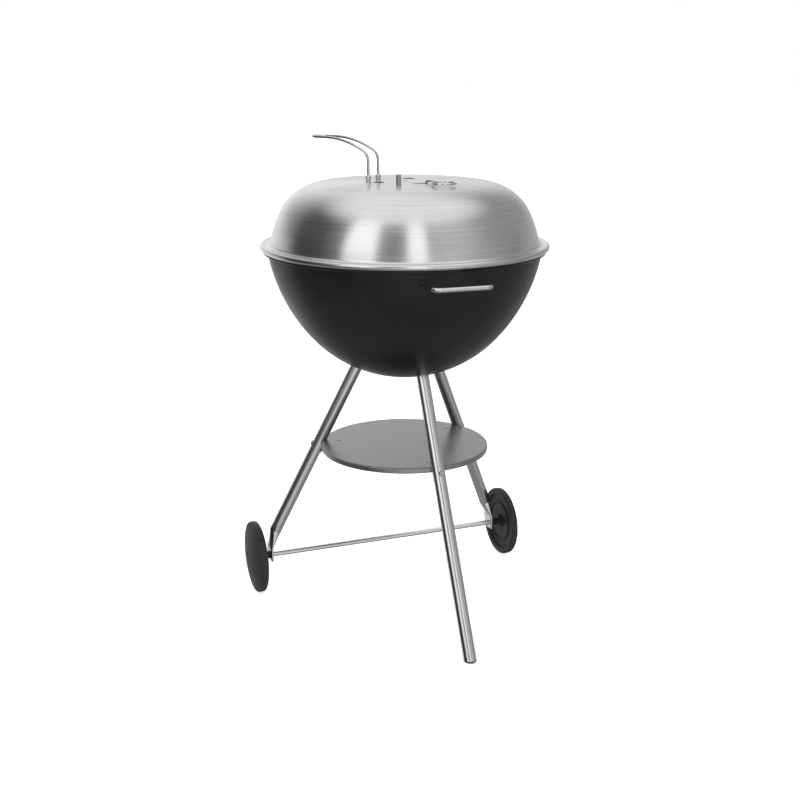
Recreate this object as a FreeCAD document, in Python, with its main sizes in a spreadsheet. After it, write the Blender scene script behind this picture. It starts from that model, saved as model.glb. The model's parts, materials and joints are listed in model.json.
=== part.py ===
import FreeCAD, Part
import math
import os
import re
import Sketcher
from collections import namedtuple
from types import SimpleNamespace
from FreeCAD import Placement, Rotation, Vector

# A kettle charcoal grill on three tube legs, two of them on wheels. Millimetres, +Z up. The origin
# is on the floor under the kettle's axis, the axle lies along X behind it, the foot is at -Y.

doc = FreeCAD.newDocument("kettle_grill")

# ---------------------------------------------------------------- driving dimensions
SIZES = [
    ("rim_radius", 290.0, "outer radius of the lid's rolled rim"),
    ("rim_height", 757.7, "floor to the middle of the lid's rolled rim"),
    ("lid_depth", 126.0, "middle of the rolled rim to the top of the lid"),
    ("lid_crown_radius", 160.0, "radius of the nearly flat crown"),
    ("lid_crown_rise", 2.0, "how much the crown swells"),
    ("lid_draft", 11.0, "slope of the lid's wall at its foot, degrees from upright"),
    ("lid_balance", 0.51, "share of the shoulder arc against the side arc"),
    ("lid_flange", 21.3, "outer edge of the rim to the foot of the lid's wall"),
    ("lid_fillet", 6.8, "radius between wall and flange"),
    ("lid_bead", 5.5, "radius of the lid's rolled rim"),
    ("lid_sheet", 1.2, "sheet of the lid"),
    ("bowl_depth", 259.0, "height of the bowl's wall over its lowest point"),
    ("bowl_inset", 14.8, "edge of the lid to the bowl's wall"),
    ("bowl_draft", 9.3, "slope of the bowl's wall at its top, degrees from upright"),
    ("bowl_balance", 1.12, "share of the base arc against the side arc"),
    ("bowl_fillet", 2.5, "radius between bowl wall and flange"),
    ("bowl_bead", 3.5, "radius of the bowl's rolled rim"),
    ("bowl_bead_inset", 9.5, "edge of the lid to the middle of the bowl's rolled rim"),
    ("bowl_sheet", 1.5, "sheet of the bowl"),
    ("seat_gap", 0.4, "between the two rolled rims"),
    ("vent_ring", 55.0, "radius of the ring that the lid's vents lie on"),
    ("vent_radius", 12.0, "radius of a lid vent"),
    ("vane_reach", 71.0, "radius of the lid damper's vanes"),
    ("vane_hub", 36.0, "radius of the lid damper's middle"),
    ("vane_gap", 0.9, "lid to damper, at the crown"),
    ("damper_sheet", 1.2, "sheet of both dampers"),
    ("lid_rivet", 2.5, "radius of the lid damper's rivet"),
    ("slot_half", 5.0, "half the width of the slot for the damper's ring"),
    ("ring_wire", 2.0, "radius of the damper ring's wire"),
    ("ring_radius", 23.0, "radius of the ring, to the middle of its wire"),
    ("ring_distance", 116.0, "lid axis to the middle of the ring"),
    ("ring_rise", 6.0, "lid to the middle of the ring"),
    ("post_radius", 4.8, "radius of the lid's post"),
    ("post_height", 20.0, "height of the lid's post"),
    ("post_distance", 70.0, "lid axis to the post"),
    ("lid_wire", 2.75, "radius of the lid handle's wire"),
    ("lid_handle_width", 36.0, "between the handle's two wires"),
    ("lid_handle_distance", 74.5, "lid axis to the handle's feet"),
    ("lid_handle_height", 81.0, "lid to the handle's grip"),
    ("lid_handle_reach", 146.0, "feet to the tip of the grip"),
    ("lid_handle_upright", 36.0, "straight height over the feet"),
    ("lid_handle_bend", 104.0, "feet to where the grip runs level"),
    ("lid_handle_balance", 0.32, "share of the handle's lower bend against its upper one"),
    ("ferrule_radius", 5.7, "radius of the ball on each foot"),
    ("bowl_wire", 4.2, "radius of the bowl handles' wire"),
    ("bowl_handle_width", 110.0, "between a bowl handle's arms"),
    ("bowl_handle_stand", 41.0, "edge of the lid to a bowl handle's bar"),
    ("bowl_handle_drop", 32.4, "rim to the bowl handles"),
    ("bowl_handle_corner", 12.0, "corner radius of the bowl handles"),
    ("handle_stub", 14.5, "bowl wall to the inner end of a handle's arm"),
    ("handle_seat", 5.5, "bowl wall to the inner face of a handle's washer"),
    ("cooking_drop", 46.0, "rim to the cooking grate"),
    ("cooking_wire", 2.5, "radius of the cooking grate's bars"),
    ("charcoal_rise", 92.0, "base of the bowl to the charcoal grate"),
    ("charcoal_wire", 3.0, "radius of the charcoal grate's bars"),
    ("grate_ring_wire", 3.5, "radius of the grates' outer rings"),
    ("grate_gap", 12.0, "bowl wall to either grate, clear of the handles' nuts"),
    ("weld_sink", 0.6, "how far crossing bars are welded into each other"),
    ("bracket_width", 24.0, "width of a grate bracket"),
    ("bracket_sheet", 2.0, "sheet of the brackets"),
    ("bracket_tab", 20.0, "shelf of a grate bracket"),
    ("bracket_flange", 22.0, "flange of a grate bracket, along the bowl wall"),
    ("bracket_gap", 1.8, "bowl wall to a bracket's middle"),
    ("tube_radius", 12.6, "radius of the leg tubes"),
    ("tube_wall", 1.5, "wall of the leg tubes"),
    ("socket_radius", 97.0, "kettle axis to where a leg meets the bowl"),
    ("foot_reach", 345.0, "kettle axis to the foot on the floor"),
    ("rear_angle", 29.3, "direction of a rear leg's top, degrees from X"),
    ("cope_gap", 0.2, "leg to bowl"),
    ("foot_sole", 4.5, "height of the front leg's plastic foot under the tube"),
    ("foot_round", 3.0, "rounding of the foot's lower edge"),
    ("foot_plug", 24.0, "how far the foot reaches up into the tube"),
    ("wheel_radius", 76.7, "radius of the wheels"),
    ("wheel_width", 15.0, "width of the wheels at the tread"),
    ("wheel_dome", 11.5, "how much the outer face of a wheel swells"),
    ("wheel_track", 293.3, "kettle axis to the middle of a wheel"),
    ("tread_round", 4.0, "rounding of the tread's edges"),
    ("face_inset", 8.0, "tread to the edge of a wheel's face"),
    ("groove_width", 2.0, "groove between tread and face"),
    ("groove_depth", 2.0, "depth of that groove"),
    ("rim_depth", 13.0, "thickness of a wheel's rim"),
    ("web_sink", 5.0, "inner side of a wheel to its web"),
    ("rib_radius", 44.0, "radius of the ring on the inner side of a wheel"),
    ("rib_size", 2.0, "width and height of that ring"),
    ("hub_radius", 15.0, "radius of the hub inside a wheel"),
    ("socket_depth", 1.0, "tread's face to the floor of the cap's socket"),
    ("cap_radius", 11.0, "radius of the cap over the axle's end"),
    ("cap_wall", 1.5, "wall of the cap"),
    ("cap_dimple", 3.0, "radius and depth of the dimple in the cap"),
    ("clip_sheet", 0.8, "sheet of the push nuts"),
    ("axle_radius", 4.0, "radius of the axle"),
    ("axle_setback", 129.4, "kettle axis to the axle"),
    ("spacer_radius", 5.6, "radius of the tube round the axle between the legs"),
    ("run_gap", 0.06, "radial clearance of what turns"),
    ("side_gap", 0.4, "axial clearance of what turns"),
    ("crimp_x", 262.0, "kettle axis to the flattened end of a rear leg"),
    ("crimp_shift", 7.0, "a rear leg's own axis to its flattened end, at the bend"),
    ("crimp_sheet", 5.0, "thickness of the flattened end"),
    ("crimp_half", 18.5, "half the width of the flattened end"),
    ("crimp_rise", 45.0, "axle to the bend of a rear leg"),
    ("crimp_below", 10.0, "axle to the lower end of a rear leg"),
    ("tray_radius", 173.7, "outer radius of the ash tray"),
    ("tray_height", 339.8, "floor to the underside of the ash tray's plate"),
    ("tray_lip", 11.0, "height of the ash tray, over its turned down lip"),
    ("tray_curl", 1.8, "radius of the ash tray's rolled edge"),
    ("tray_sheet", 1.2, "sheet of the ash tray"),
    ("tray_gap", 0.6, "leg to ash tray"),
    ("bolt_radius", 4.0, "radius of the leg bolts"),
    ("screw_radius", 2.5, "radius of the small screws"),
    ("nut_wide", 1.65, "half a nut's width, in radii of its bolt"),
    ("nut_high", 1.6, "height of a nut, in radii of its bolt"),
    ("head_high", 1.3, "height of a bolt's head, in radii of the bolt"),
    ("washer_wide", 2.2, "radius of a washer, in radii of its bolt"),
    ("plug_length", 36.0, "length of the plug in the top of a leg"),
    ("tray_angle_tab", 40.0, "leg's axis to the rivet of a tray angle"),
    ("tray_angle_width", 17.0, "width of a tray angle"),
    ("thread_gap", 0.05, "clearance between a thread and its nut"),
    ("hole_gap", 0.3, "clearance of a screw hole"),
    ("lower_vent", 15.0, "radius of a bowl vent"),
    ("lower_vent_ring", 50.0, "radius of the ring that the bowl's vents lie on"),
    ("lower_damper", 78.0, "radius of the bowl's damper"),
    ("lower_gap", 0.6, "bowl to its damper"),
    ("lever_length", 128.0, "kettle axis to the tip of the damper's lever"),
    ("lever_half", 8.0, "half the width of the lever"),
    ("lever_tip", 14.0, "how far the lever's tip is bent down"),
    ("lever_sheet", 2.0, "sheet of the lever"),
    ("button", 2.4, "height of the heads of rivets and pivots"),
]

VENT_ANGLES = (60.0, 180.0)
SLOT_ANGLES = (271.0, 299.0)
RING_ANGLE = 288.5
STEM_ANGLE = 298.5
VANES = ((73.0, 103.0), (193.0, 223.0), (290.0, 338.0))
POST_ANGLE = 238.5
LID_HANDLE_ANGLE = 126.5
BOWL_HANDLE_ANGLES = {"front": -93.0, "rear": 87.0}
BRACKET_ANGLES = (0.0, 120.0, 240.0)
LOWER_VENT_ANGLES = (30.0, 150.0, 270.0)
LEVER_ANGLE = 110.0
BARS_COOKING = 27
BARS_CHARCOAL = 15

UP = Vector(0, 0, 1)
ORIGIN = Vector(0, 0, 0)
HEX_SHARE = 2 / math.sqrt(3)

sheet = doc.addObject("Spreadsheet::Sheet", "Sizes")
for row, (alias, number, note) in enumerate(SIZES, start=1):
    sheet.set(f"A{row}", note)
    sheet.set(f"B{row}", str(number))
    sheet.setAlias(f"B{row}", alias)
doc.recompute()
s = SimpleNamespace(**{alias: float(getattr(sheet, alias)) for alias, _, _ in SIZES})
WORDS = re.compile(r"\b(" + "|".join(alias for alias, _, _ in SIZES) + r")\b")
nodes = {}


# ---------------------------------------------------------------- document helpers
def rule(text):
    """An expression in which the sheet's words stand for its cells."""
    return WORDS.sub(r"Sizes.\1", text)


def number(text):
    """What an expression comes to now."""
    result = sheet.evalExpression(WORDS.sub(r".\1", text))
    return float(getattr(result, "Value", result))


def node(item, name):
    """Names a finished sub-part, which is written under this name."""
    item.Label = name
    nodes[name] = item
    return item


def feature(name, shape, placement=None):
    """A sub-part or helper whose shape comes from Part's own functions."""
    item = doc.addObject("Part::Feature", name)
    item.Shape = shape
    if placement:
        item.Placement = placement
    return item


def polar(radius, degrees, height=0.0):
    angle = math.radians(degrees)
    return Vector(radius * math.cos(angle), radius * math.sin(angle), height)


def along(start, direction):
    """A placement that turns +Z into the direction."""
    return Placement(start, Rotation(UP, direction))


def rod(name, radius, length, start, direction=UP):
    """A cylinder with bound radius and length."""
    item = doc.addObject("Part::Cylinder", name)
    item.setExpression("Radius", rule(radius))
    item.setExpression("Height", rule(length))
    item.Placement = along(start, direction)
    return item


def group(name, members):
    item = doc.addObject("Part::Compound", name)
    item.Links = members
    return item


def fused(name, members):
    item = doc.addObject("Part::MultiFuse", name)
    item.Shapes = members
    return item


def cut(name, base, tool):
    item = doc.addObject("Part::Cut", name)
    item.Base = base
    item.Tool = tool
    return item


def common(name, members):
    item = doc.addObject("Part::MultiCommon", name)
    item.Shapes = members
    return item


def nut(name, bolt, start, direction):
    """A hexagon nut for a bolt of the given radius."""
    block = doc.addObject("Part::Prism", name + "_block")
    block.Polygon = 6
    block.setExpression("Circumradius", rule(f"{bolt} * nut_wide * {HEX_SHARE}"))
    block.setExpression("Height", rule(f"{bolt} * nut_high"))
    block.Placement = along(start, direction)
    bore = rod(name + "_bore", f"{bolt} + thread_gap", f"{bolt} * nut_high", start, direction)
    return cut(name, block, bore)


def washer(name, bolt, thickness, start, direction):
    """A round washer for a bolt of the given radius."""
    disc = rod(name + "_disc", f"{bolt} * washer_wide", thickness, start, direction)
    bore = rod(name + "_bore", f"{bolt} + thread_gap", thickness, start, direction)
    return cut(name, disc, bore)


def plane_of(body, role):
    return next(item for item in body.Origin.OriginFeatures if item.Role == role)


def sketch_on(body, role, name):
    sketch = body.newObject("Sketcher::SketchObject", name)
    sketch.AttachmentSupport = [(plane_of(body, role), "")]
    sketch.MapMode = "FlatFace"
    return sketch


def circle(sketch, radius, centre=("0", "0")):
    """A circle with bound radius and centre."""
    x, y = number(centre[0]), number(centre[1])
    index = sketch.addGeometry(Part.Circle(Vector(x, y, 0), UP, number(radius)), False)
    bound(sketch, Sketcher.Constraint("Radius", index, number(radius)), radius)
    pin(sketch, index, 3, centre)


def bound(sketch, constraint, text):
    index = sketch.addConstraint(constraint)
    sketch.setExpression(f"Constraints[{index}]", rule(text))


def pin(sketch, index, end, corner):
    """Binds one end of a sketch edge to a pair of expressions."""
    for kind, text, axis in (("DistanceX", corner[0], -2), ("DistanceY", corner[1], -1)):
        if text == "0":
            sketch.addConstraint(Sketcher.Constraint("PointOnObject", index, end, axis))
        else:
            bound(sketch, Sketcher.Constraint(kind, -1, 1, index, end, number(text)), text)


def outline(sketch, corners, closed=True):
    """Edges from corner to corner. A corner is a pair of expressions, and a third one is the
    radius of the arc to the next corner, which bulges to the right of the way it goes."""
    points = [Vector(number(corner[0]), number(corner[1]), 0) for corner in corners]
    count = len(corners)
    ends = []
    for place in range(count if closed else count - 1):
        first, last = points[place], points[(place + 1) % count]
        if len(corners[place]) == 3:
            radius = number(corners[place][2])
            chord = last - first
            middle = (first + last) * 0.5
            left = Vector(-chord.y, chord.x, 0).normalize()
            centre = middle + left * math.sqrt(radius ** 2 - (chord.Length / 2) ** 2)
            top = centre + (middle - centre).normalize() * radius
            index = sketch.addGeometry(Part.Arc(first, top, last), False)
            bound(sketch, Sketcher.Constraint("Radius", index, radius), corners[place][2])
        else:
            index = sketch.addGeometry(Part.LineSegment(first, last), False)
        ends.append(index)
    for place, index in enumerate(ends):
        pin(sketch, index, 1, corners[place])
        if closed or place + 1 < len(ends):
            sketch.addConstraint(Sketcher.Constraint("Coincident", index, 2,
                                                     ends[(place + 1) % len(ends)], 1))
        else:
            pin(sketch, index, 2, corners[place + 1])


def turned(name, corners, placement=None):
    """A body turned about its own Z axis from an outline of radius and height."""
    body = doc.addObject("PartDesign::Body", name)
    profile = sketch_on(body, "XZ_Plane", name + "_profile")
    outline(profile, corners)
    spin = body.newObject("PartDesign::Revolution", name + "_turn")
    spin.Profile = profile
    spin.ReferenceAxis = (profile, ["V_Axis"])
    spin.Angle = 360
    if placement:
        body.Placement = placement
    return body


def padded(name, role, corners, length, placement=None, midplane=False):
    """A body padded from an outline on one of its origin planes."""
    body = doc.addObject("PartDesign::Body", name)
    profile = sketch_on(body, role, name + "_profile")
    outline(profile, corners)
    pad = body.newObject("PartDesign::Pad", name + "_pad")
    pad.Profile = profile
    pad.setExpression("Length", rule(length))
    pad.Midplane = midplane
    if placement:
        body.Placement = placement
    return body


# ---------------------------------------------------------------- curved sheet
Arc = namedtuple("Arc", "centre radius low high")


def biarc(start, heading, end, end_heading, balance):
    """Two tangent arcs from one directed point to another, as (radius, turn) steps. The balance
    is the first arc's tangent length over the second's."""
    first = Vector(math.cos(math.radians(heading)), 0, math.sin(math.radians(heading)))
    last = Vector(math.cos(math.radians(end_heading)), 0, math.sin(math.radians(end_heading)))
    chord = end - start
    square = 2 * balance * (first.dot(last) - 1)
    linear = -2 * (balance * chord.dot(first) + chord.dot(last))
    root = math.sqrt(linear ** 2 - 4 * square * chord.dot(chord))
    near = (-linear - root) / (2 * square)
    bridge = (end - last * near) - (start + first * near * balance)
    middle = math.degrees(math.atan2(bridge.z, bridge.x))
    steps = []
    for length, turn in ((near * balance, middle - heading), (near, end_heading - middle)):
        steps.append((length / math.tan(math.radians(abs(turn)) / 2), turn))
    return steps


def walk(start, heading, steps):
    """Edges in the XZ plane for (length, 0) straights and (radius, turn) arcs, with the arcs."""
    edges, arcs = [], []
    place = start
    for size, turn in steps:
        ahead = Vector(math.cos(math.radians(heading)), 0, math.sin(math.radians(heading)))
        if turn == 0:
            following = place + ahead * size
            edges.append(Part.LineSegment(place, following).toShape())
        else:
            left = Vector(-ahead.z, 0, ahead.x) * math.copysign(size, turn)
            centre = place + left
            spin = Rotation(Vector(0, -1, 0), turn / 2)
            half = centre + spin.multVec(left * -1)
            following = centre + spin.multVec(spin.multVec(left * -1))
            edges.append(Part.Arc(place, half, following).toShape())
            arcs.append(Arc(centre, size, min(place.z, following.z), max(place.z, following.z)))
            heading += turn
        place = following
    return edges, arcs, place


def parallel(steps, offset):
    """The same walk, moved to its left by the offset."""
    return [(size - offset * math.copysign(1, turn) if turn else size, turn) for size, turn in steps]


def side_step(start, heading, offset):
    angle = math.radians(heading)
    return start + Vector(-math.sin(angle), 0, math.cos(angle)) * offset


def spun_sheet(start, heading, steps, thickness):
    """Sheet of even thickness to the left of a walk, turned about the Z axis."""
    near, _, near_end = walk(start, heading, steps)
    inner_start = side_step(start, heading, thickness)
    far, _, far_end = walk(inner_start, heading, parallel(steps, thickness))
    caps = [Part.LineSegment(near_end, far_end).toShape(),
            Part.LineSegment(start, inner_start).toShape()]
    wire = Part.Wire(Part.__sortEdges__(near + far + caps))
    return Part.Face(wire).revolve(ORIGIN, UP, 360)


def spun_solid(start, heading, steps):
    """The full solid between a walk that starts on the axis and the axis."""
    edges, _, end = walk(start, heading, steps)
    over = Vector(0, 0, end.z)
    lids = [Part.LineSegment(end, over).toShape(), Part.LineSegment(over, start).toShape()]
    wire = Part.Wire(Part.__sortEdges__(edges + lids))
    return Part.Face(wire).revolve(ORIGIN, UP, 360)


def reach_at(arcs, height):
    """Radius of a turned outline at a height."""
    arc = next(item for item in arcs if item.low <= height <= item.high)
    return arc.centre.x + math.sqrt(arc.radius ** 2 - (height - arc.centre.z) ** 2)


def drop_at(arc, radius):
    """Height of a bowl-shaped arc at a radius."""
    return arc.centre.z - math.sqrt(arc.radius ** 2 - (radius - arc.centre.x) ** 2)


def torus(radius, wire, height):
    return Part.makeTorus(radius, wire, Vector(0, 0, height))


def sector(inner, outer, first, last, low, high):
    """A flat ring sector."""
    a, b = polar(inner, first, low), polar(outer, first, low)
    c, d = polar(outer, last, low), polar(inner, last, low)
    middle = (first + last) / 2
    edges = [Part.LineSegment(a, b).toShape(), Part.Arc(b, polar(outer, middle, low), c).toShape(),
             Part.LineSegment(c, d).toShape(), Part.Arc(d, polar(inner, middle, low), a).toShape()]
    return Part.Face(Part.Wire(edges)).extrude(Vector(0, 0, high - low))


def drilled(shape, holes):
    """Cuts (radius, start, end) holes."""
    tools = []
    for radius, start, end in holes:
        tools.append(Part.makeCylinder(radius, (end - start).Length, start, end - start))
    return shape.cut(tools)


def swept(edges, radius, start, direction):
    """Round wire along tangent edges."""
    section = Part.Wire(Part.Circle(start, direction, radius).toShape())
    return Part.Wire(edges).makePipeShell([section], True, False)


# ---------------------------------------------------------------- outlines of bowl and lid
bowl_top_heading = 90 - s.bowl_draft
bead_pitch = s.lid_bead + s.bowl_bead + s.seat_gap
bead_shift = s.bowl_bead_inset - s.lid_bead
bowl_bead_z = s.rim_height - math.sqrt(bead_pitch ** 2 - bead_shift ** 2)
bowl_flange_z = bowl_bead_z + s.bowl_bead - s.bowl_sheet
bowl_top_z = bowl_flange_z - s.bowl_fillet * (1 - math.cos(math.radians(bowl_top_heading)))
bowl_base = Vector(0, 0, bowl_top_z - s.bowl_depth)
bowl_top = Vector(s.rim_radius - s.bowl_inset, 0, bowl_top_z)
bowl_steps = biarc(bowl_base, 0, bowl_top, bowl_top_heading, s.bowl_balance)
bowl_arcs = walk(bowl_base, 0, bowl_steps)[1]
cavity_base = bowl_base + UP * s.bowl_sheet
cavity_steps = parallel(bowl_steps, s.bowl_sheet)
cavity_arcs = walk(cavity_base, 0, cavity_steps)[1]

lid_top_z = s.rim_height + s.lid_depth
lid_foot_heading = s.lid_draft - 90
lid_flange_z = s.rim_height + s.lid_bead - s.lid_sheet
lid_foot_z = lid_flange_z + s.lid_fillet * (1 - math.cos(math.radians(lid_foot_heading)))
lid_foot = Vector(s.rim_radius - s.lid_flange, 0, lid_foot_z)
crown_turn = -2 * math.degrees(math.atan(s.lid_crown_rise / s.lid_crown_radius))
crown_arc = (s.lid_crown_radius / math.sin(math.radians(-crown_turn)), crown_turn)
lid_top = Vector(0, 0, lid_top_z)
crown_edge = Vector(s.lid_crown_radius, 0, lid_top_z - s.lid_crown_rise)
shoulder = biarc(crown_edge, crown_turn, lid_foot, lid_foot_heading, 1 / s.lid_balance)


def crown_z(radius):
    """Top of the lid at a radius within its crown."""
    return lid_top_z - crown_arc[0] + math.sqrt(crown_arc[0] ** 2 - radius ** 2)


def bowl_at(height, degrees):
    """Point of the cavity's wall, and the inward direction square to it."""
    arc = next(item for item in cavity_arcs if item.low <= height <= item.high)
    radius = reach_at(cavity_arcs, height)
    turn = Rotation(UP, degrees)
    point = turn.multVec(Vector(radius, 0, height))
    return point, turn.multVec((arc.centre - Vector(radius, 0, height)).normalize())


# ---------------------------------------------------------------- legs' axes
socket_z = drop_at(bowl_arcs[0], s.socket_radius)
foot_point = Vector(0, -s.foot_reach, 0)
axle_z = s.wheel_radius
leg_tops = {"front": polar(s.socket_radius, -90, socket_z),
            "right": polar(s.socket_radius, s.rear_angle, socket_z),
            "left": polar(s.socket_radius, 180 - s.rear_angle, socket_z)}
bend_x = s.crimp_x - s.crimp_shift
leg_ends = {"front": foot_point,
            "right": Vector(bend_x, s.axle_setback, axle_z + s.crimp_rise),
            "left": Vector(-bend_x, s.axle_setback, axle_z + s.crimp_rise)}
leg_ways = {side: (leg_tops[side] - leg_ends[side]).normalize() for side in leg_tops}

bowl_core = spun_solid(bowl_base, 0, bowl_steps)
bowl_cavity = spun_solid(cavity_base, 0, cavity_steps)
cope_core = spun_solid(bowl_base - UP * s.cope_gap, 0, parallel(bowl_steps, -s.cope_gap))


def leg_point(side, height):
    """Point of a leg's axis at a height."""
    way = leg_ways[side]
    return leg_ends[side] + way * ((height - leg_ends[side].z) / way.z)


# ---------------------------------------------------------------- bowl
handle_z = s.rim_height - s.bowl_handle_drop
handle_half = s.bowl_handle_width / 2
wall_r = reach_at(bowl_arcs, handle_z)
wall_y = math.sqrt(wall_r ** 2 - handle_half ** 2)
arm_end = wall_y - s.handle_stub


def arm_starts():
    """Where each handle arm ends inside the bowl, with the way it points."""
    for side, degrees in BOWL_HANDLE_ANGLES.items():
        out = polar(1, degrees)
        for hand in (-1, 1):
            yield side, polar(arm_end, degrees, handle_z) + polar(handle_half * hand, degrees + 90), out


def make_bowl():
    shape = spun_sheet(bowl_base, 0, bowl_steps + [(s.bowl_fillet, -bowl_top_heading)], s.bowl_sheet)
    edge = s.rim_radius - s.bowl_bead_inset
    fillet_end = walk(bowl_top, bowl_top_heading, [(s.bowl_fillet, -bowl_top_heading)])[2]
    flange = Part.makeCylinder(edge, s.bowl_sheet, Vector(0, 0, bowl_flange_z))
    flange = flange.cut(Part.makeCylinder(fillet_end.x, s.bowl_sheet, Vector(0, 0, bowl_flange_z)))
    shape = shape.fuse([flange, torus(edge, s.bowl_bead, bowl_bead_z)]).removeSplitter()
    holes = [(s.axle_radius + s.run_gap, bowl_base - UP * s.bowl_sheet, cavity_base + UP * s.bowl_sheet)]
    for degrees in LOWER_VENT_ANGLES:
        low = polar(s.lower_vent_ring, degrees, bowl_base.z)
        holes.append((s.lower_vent, low, low + UP * s.lower_vent * 2))
    for side, top in leg_tops.items():
        reach = leg_ways[side] * s.tube_radius
        holes.append((s.bolt_radius + s.hole_gap, top - reach, top + reach))
    for _, start, out in arm_starts():
        holes.append((s.bowl_wire + s.hole_gap, start, start + out * (s.rim_radius - arm_end)))
    return drilled(shape, holes)


def make_bowl_handles():
    """A wire bent in a U whose threaded ends pass through the wall, with a nut on each."""
    nuts, washers = [], []
    corner = "bowl_handle_corner"
    half = "bowl_handle_width / 2"
    for side, degrees in BOWL_HANDLE_ANGLES.items():
        body = doc.addObject("PartDesign::Body", f"bowl_handle_{side}_body")
        path = sketch_on(body, "XY_Plane", f"handle_path_{side}")
        reach = f"rim_radius + bowl_handle_stand - {arm_end}"
        outline(path, [("0", f"-({half})"), (f"{reach} - {corner}", f"-({half})", corner),
                       (reach, f"{corner} - {half}"), (reach, f"{half} - {corner}", corner),
                       (f"{reach} - {corner}", half), ("0", half)], closed=False)
        section = sketch_on(body, "YZ_Plane", f"handle_section_{side}")
        circle(section, "bowl_wire", (f"-({half})", "0"))
        pipe = body.newObject("PartDesign::AdditivePipe", f"handle_pipe_{side}")
        pipe.Profile = section
        pipe.Spine = (path, [])
        body.Placement = Placement(polar(arm_end, degrees, handle_z), Rotation(UP, degrees))
        node(body, f"bowl_handle_{side}")
    for count, (_, start, out) in enumerate(arm_starts()):
        seat = start + out * (s.handle_stub - s.handle_seat)
        stock = washer(f"handle_washer_stock_{count}", "bowl_wire", "handle_stub", seat, out)
        cavity = feature(f"handle_washer_room_{count}", bowl_cavity)
        washers.append(common(f"handle_washer_{count}", [stock, cavity]))
        nuts.append(nut(f"handle_nut_{count}", "bowl_wire", seat - out * s.thread_gap, out * -1))
    node(group("bowl_handle_nuts", nuts), "bowl_handle_nuts")
    node(group("bowl_handle_washers", washers), "bowl_handle_washers")


# ---------------------------------------------------------------- grates
def make_grate(name, height, bar, bars):
    """Parallel bars over a ring and two cross bars, welded where they meet."""
    ring_r = reach_at(cavity_arcs, height) - s.grate_gap - s.grate_ring_wire
    ring = doc.addObject("Part::Torus", name + "_ring")
    ring.Radius1 = ring_r
    ring.setExpression("Radius2", rule("grate_ring_wire"))
    ring.Placement = Placement(Vector(0, 0, height), Rotation())
    members = [ring]
    pitch = 2 * ring_r / (bars + 1)
    for count in range(bars):
        x = pitch * (count + 1) - ring_r
        half = math.sqrt(ring_r ** 2 - x ** 2)
        members.append(rod(f"{name}_bar_{count}", bar, str(2 * half), Vector(x, -half, height),
                           Vector(0, 1, 0)))
    wire = number(bar)
    low = height - 2 * wire + s.weld_sink
    for place in (-ring_r / 2, ring_r / 2):
        half = math.sqrt(ring_r ** 2 - place ** 2) - s.grate_ring_wire / 2
        members.append(rod(f"{name}_cross_{members.index(members[-1])}", bar, str(2 * half),
                           Vector(-half, place, low), Vector(1, 0, 0)))
    node(fused(name, members), name)


def make_brackets(name, height):
    """Bent strips on the bowl's wall, under a grate's ring."""
    members = []
    shelf_z = height - s.grate_ring_wire
    for count, degrees in enumerate(BRACKET_ANGLES):
        point, inward = bowl_at(shelf_z - s.bracket_flange / 2, 0)
        upward = Vector(-inward.z, 0, inward.x) * -1
        if upward.z < 0:
            upward = upward * -1
        back = point + inward * s.bracket_gap
        stem = (shelf_z - back.z) / upward.z
        corner = back + upward * stem
        low = corner - upward * s.bracket_flange
        inner_low = low + inward * s.bracket_sheet
        rise = (shelf_z - s.bracket_sheet - inner_low.z) / upward.z
        inner_corner = inner_low + upward * rise
        tip = Vector(corner.x - s.bracket_tab, 0, shelf_z)
        tip_low = tip - UP * s.bracket_sheet
        ring = [low, corner, tip, tip_low, inner_corner, inner_low, low]
        plate = Part.Face(Part.makePolygon(ring)).extrude(Vector(0, s.bracket_width, 0))
        plate.translate(Vector(0, -s.bracket_width / 2, 0))
        members.append(feature(f"{name}_{count}", plate, Placement(ORIGIN, Rotation(UP, degrees))))
    node(group(name, members), name)


# ---------------------------------------------------------------- legs
def tube_solid(side, radius, length):
    return Part.makeCylinder(radius, length, leg_ends[side], leg_ways[side])


def make_front_leg():
    """Plain tube whose top is cut to the bowl and whose lower end is cut level."""
    body = doc.addObject("PartDesign::Body", "front_tube")
    section = sketch_on(body, "XY_Plane", "front_tube_section")
    circle(section, "tube_radius")
    circle(section, "tube_radius - tube_wall")
    pad = body.newObject("PartDesign::Pad", "front_tube_pad")
    pad.Profile = section
    pad.Length = (leg_tops["front"] - foot_point).Length + 2 * s.tube_radius
    body.Placement = along(foot_point - leg_ways["front"] * s.tube_radius, leg_ways["front"])
    coped = cut("front_leg_coped", body, feature("front_cope", cope_core))
    levelled = cut("front_leg_levelled", coped, foot_slab("front_leg_floor", s.foot_sole + s.thread_gap))
    node(cut("front_leg", levelled, leg_screw_hole("front")), "front_leg")


def foot_slab(name, top):
    """A block round the foot, from under the floor up to a height."""
    block = doc.addObject("Part::Box", name)
    for edge in ("Length", "Width", "Height"):
        block.setExpression(edge, rule("tube_radius * 12"))
    reach = 6 * s.tube_radius
    block.Placement = Placement(foot_point + Vector(-reach, -reach, top - 2 * reach), Rotation())
    return block


def tray_line(side):
    """Where the tray's screw crosses a leg: the point on its axis and the outward direction."""
    point = leg_point(side, s.tray_height - s.bracket_flange / 2)
    way = leg_ways[side]
    level = lean(side)
    return point, (level - way * level.dot(way)).normalize()


def lean(side):
    """The level direction that a leg leans out in."""
    way = leg_ways[side]
    return Vector(-way.x, -way.y, 0).normalize()


def leg_screw_hole(side):
    point, outward = tray_line(side)
    start = point - outward * (2 * s.tube_radius)
    return rod(f"{side}_screw_hole", "screw_radius + hole_gap", "tube_radius * 4", start, outward)


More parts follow.
